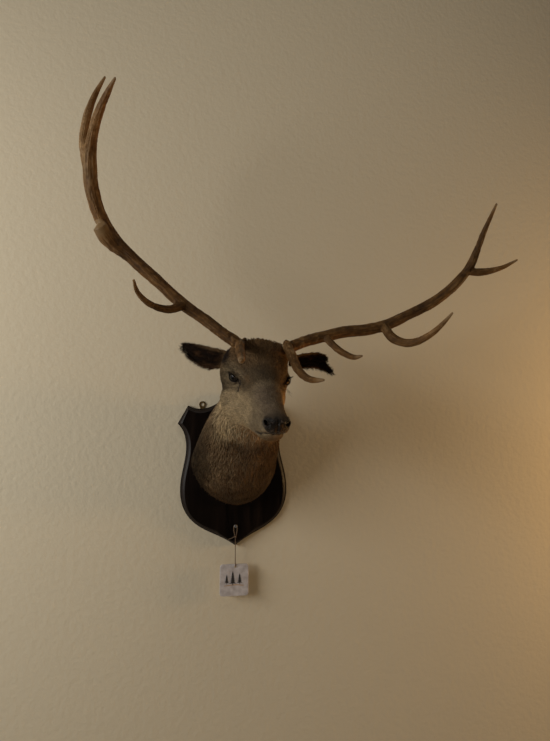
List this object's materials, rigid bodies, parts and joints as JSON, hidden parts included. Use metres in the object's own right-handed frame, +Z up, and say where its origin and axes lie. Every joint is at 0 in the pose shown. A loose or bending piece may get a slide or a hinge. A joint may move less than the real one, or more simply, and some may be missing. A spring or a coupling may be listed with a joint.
{
  "type": "red deer stag head mount",
  "caption": "Life-size red deer stag head and neck with branched antlers on a dark shield plaque, with a small tag hung below; hangs flat on a wall.",
  "frame": {"origin": "on the flat back face of the wooden shield, where it meets the wall, near the shield's middle", "axes": "+Y into the wall, so the stag looks along -Y; +Z up; +X is the stag's left"},
  "size_m": [1.2076, 0.632, 1.3839],
  "materials": {
    "board": "dark stained and waxed, satin",
    "brass": "aged brass",
    "coat_neck": "long grey-brown mane hair",
    "coat_face": "short flat fur, grey-tan, darker on the forehead",
    "coat_chin": "short pale fur",
    "coat_ear": "dark hair, near black inside",
    "nose": "dark, pebbled, slightly glossy",
    "eye": "dark glass eye, glossy",
    "antler": "brown grooved antler, paler worn tips",
    "nail": "dull steel",
    "twine": "brown jute twine",
    "tag_plate": "pale printed plate, slightly glossy"
  },
  "bodies": {
    "root": {"board": "board", "hanger_right": "brass", "hanger_left": "brass", "neck": "coat_neck", "head_skull": "coat_face", "head_muzzle": "coat_face", "head_nose_pad": "nose", "head_lower_jaw": "coat_chin", "ear_right": "coat_ear", "ear_left": "coat_ear", "eye_right": "eye", "eye_left": "eye", "tag_nail": "nail", "tag_loop": "twine", "tag_knot": "twine", "tag_drop": "twine", "tag_plate": "tag_plate", "antler_right_burr": "antler", "antler_right_beam_lower": "antler", "antler_right_beam_middle": "antler", "antler_right_beam_upper": "antler", "antler_right_beam_tip": "antler", "antler_right_brow_tine": "antler", "antler_right_bez_tine": "antler", "antler_right_crown_tine": "antler", "antler_left_burr": "antler", "antler_left_beam_lower": "antler", "antler_left_beam_middle": "antler", "antler_left_beam_upper": "antler", "antler_left_beam_tip": "antler", "antler_left_brow_tine": "antler", "antler_left_bez_tine": "antler", "antler_left_crown_tine": "antler", "antler_right_trez_stub": "antler", "antler_left_trez_tine": "antler"}
  },
  "joints": []
}
